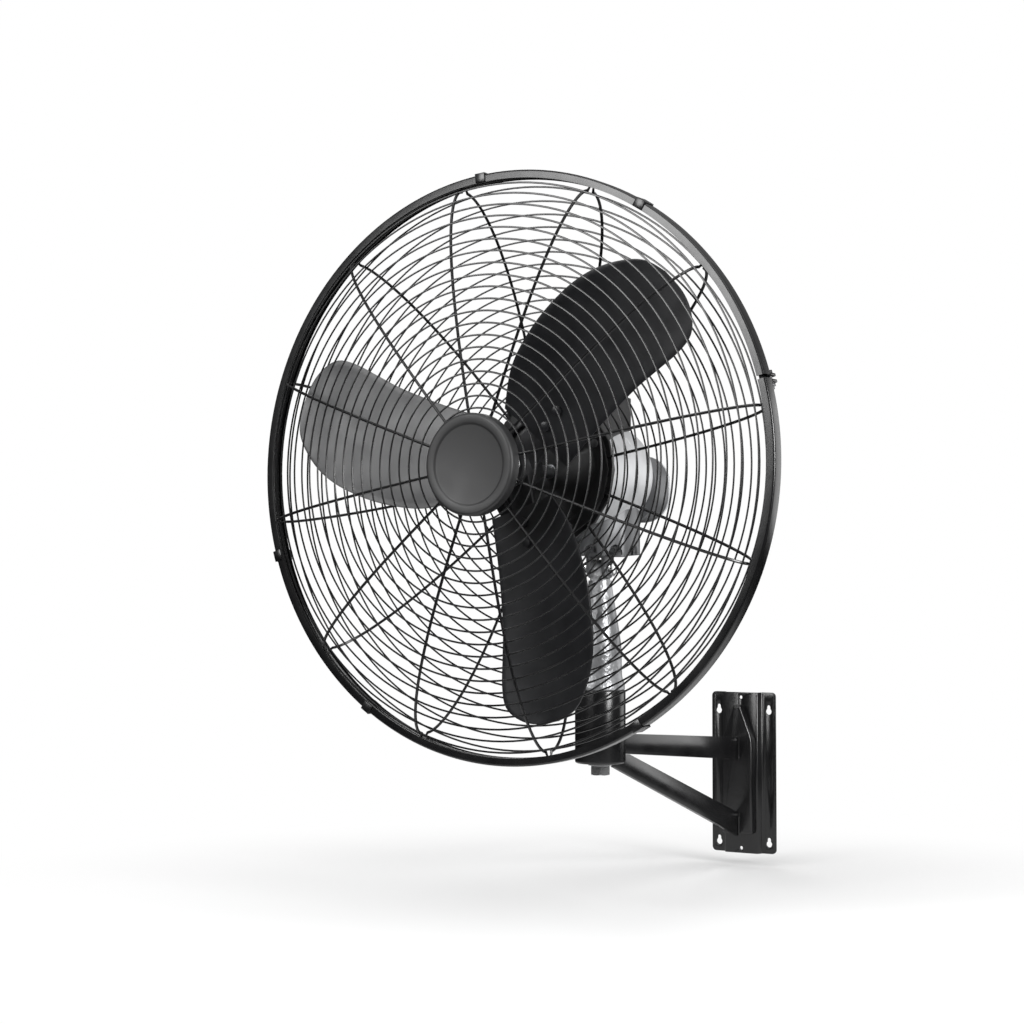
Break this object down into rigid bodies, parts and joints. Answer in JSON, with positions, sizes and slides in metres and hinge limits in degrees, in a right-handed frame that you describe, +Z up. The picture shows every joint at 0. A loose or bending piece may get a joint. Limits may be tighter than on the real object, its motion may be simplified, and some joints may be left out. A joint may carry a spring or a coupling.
{
  "type": "wall mounted fan",
  "caption": "Oscillating wall fan: bladed head in a domed wire guard on a tilting yoke, cast neck and welded steel wall bracket.",
  "frame": {"origin": "middle of the wall plate's back face, on the wall", "axes": "+Y into the wall, +Z up, +X to the right as seen from the front; the fan blows towards -Y"},
  "size_m": [0.69, 0.7167, 0.8575],
  "materials": {
    "black_paint": "satin black powder coat",
    "blade_paint": "semi-gloss dark grey paint on sheet steel",
    "bracket_paint": "glossy black enamel, weld beads left as laid",
    "cast_silver": "die-cast aluminium with a silver-grey paint",
    "zinc": "bright zinc plate",
    "steel": "plain machined steel",
    "copper": "enamelled copper wire",
    "bronze": "sintered bronze",
    "black_plastic": "moulded black plastic with a fine grain"
  },
  "bodies": {
    "bracket": {"wall_plate": "bracket_paint", "plate_spine": "bracket_paint", "upper_arm": "bracket_paint", "lower_arm": "bracket_paint", "mounting_collar": "bracket_paint", "collar_bolt": "zinc", "collar_washer": "zinc", "neck_post": "cast_silver"},
    "yoke": {"tilt_yoke": "cast_silver", "tilt_bolt": "zinc", "tilt_nut": "zinc", "pivot_spindle": "steel"},
    "rotor": {"rotor_shaft": "steel", "rotor_core": "steel", "blade_hub": "cast_silver", "hub_nut": "zinc", "blade_1": "blade_paint", "blade_2": "blade_paint", "blade_3": "blade_paint", "blade_screw_1": "zinc", "blade_screw_2": "zinc", "blade_screw_3": "zinc", "blade_screw_4": "zinc", "blade_screw_5": "zinc", "blade_screw_6": "zinc"},
    "crank": {"crank_gear": "steel", "crank_disc": "zinc"},
    "link": {"drag_link": "zinc"},
    "knob": {"pull_knob": "black_plastic"},
    "head": {"gear_case": "cast_silver", "gear_cover": "cast_silver", "motor_shell": "cast_silver", "motor_shield": "black_paint", "front_guard": "black_paint", "rear_guard": "black_paint", "guard_hoop": "black_paint", "front_cap": "black_paint", "guard_clamp_ring": "black_paint", "hoop_clip_1": "black_paint", "hoop_clip_2": "black_paint", "hoop_clip_3": "black_paint", "hoop_clip_4": "black_paint", "hoop_clip_5": "black_paint", "run_capacitor": "zinc", "hoop_screw": "zinc", "hoop_nut": "zinc", "cap_backplate": "zinc", "cap_nut": "zinc", "clamp_screw_1": "zinc", "clamp_screw_2": "zinc", "clamp_screw_3": "zinc", "clamp_screw_4": "zinc", "stator_core": "steel", "front_bearing": "steel", "rear_bearing": "steel", "winding_front": "copper", "winding_rear": "copper", "pivot_bushing": "bronze", "terminal_hood": "black_plastic"}
  },
  "joints": [
    {"name": "head_tilt", "type": "hinge", "parent": "bracket", "child": "yoke", "pos_m": [0, -0.414, 0.283], "axis": [1, 0, 0], "range_deg": [-15, 25]},
    {"name": "head_swing", "type": "hinge", "parent": "yoke", "child": "head", "pos_m": [0, -0.414, 0.309], "axis": [0, 0, 1], "range_deg": [-45, 45]},
    {"name": "rotor_spin", "type": "hinge", "parent": "head", "child": "rotor", "pos_m": [0, -0.636, 0.3993], "axis": [0, 1, 0], "continuous": true},
    {"name": "crank_turn", "type": "hinge", "parent": "head", "child": "crank", "pos_m": [-0.022, -0.364, 0.309], "axis": [0, 0, 1], "range_deg": [-63.63, 63.63]},
    {"name": "link_turn", "type": "hinge", "parent": "crank", "child": "link", "pos_m": [-0.00517, -0.3566, 0.309], "axis": [0, 0, 1], "range_deg": [-63.63, 63.63]},
    {"name": "knob_pull", "type": "slide", "parent": "head", "child": "knob", "axis": [0, 0, 1], "range_m": [0, 0.006]}
  ],
  "couplings": [
    {"joint": "crank_turn", "follows": "head_swing", "ratio": -1.414},
    {"joint": "link_turn", "follows": "head_swing", "ratio": 1.414}
  ]
}
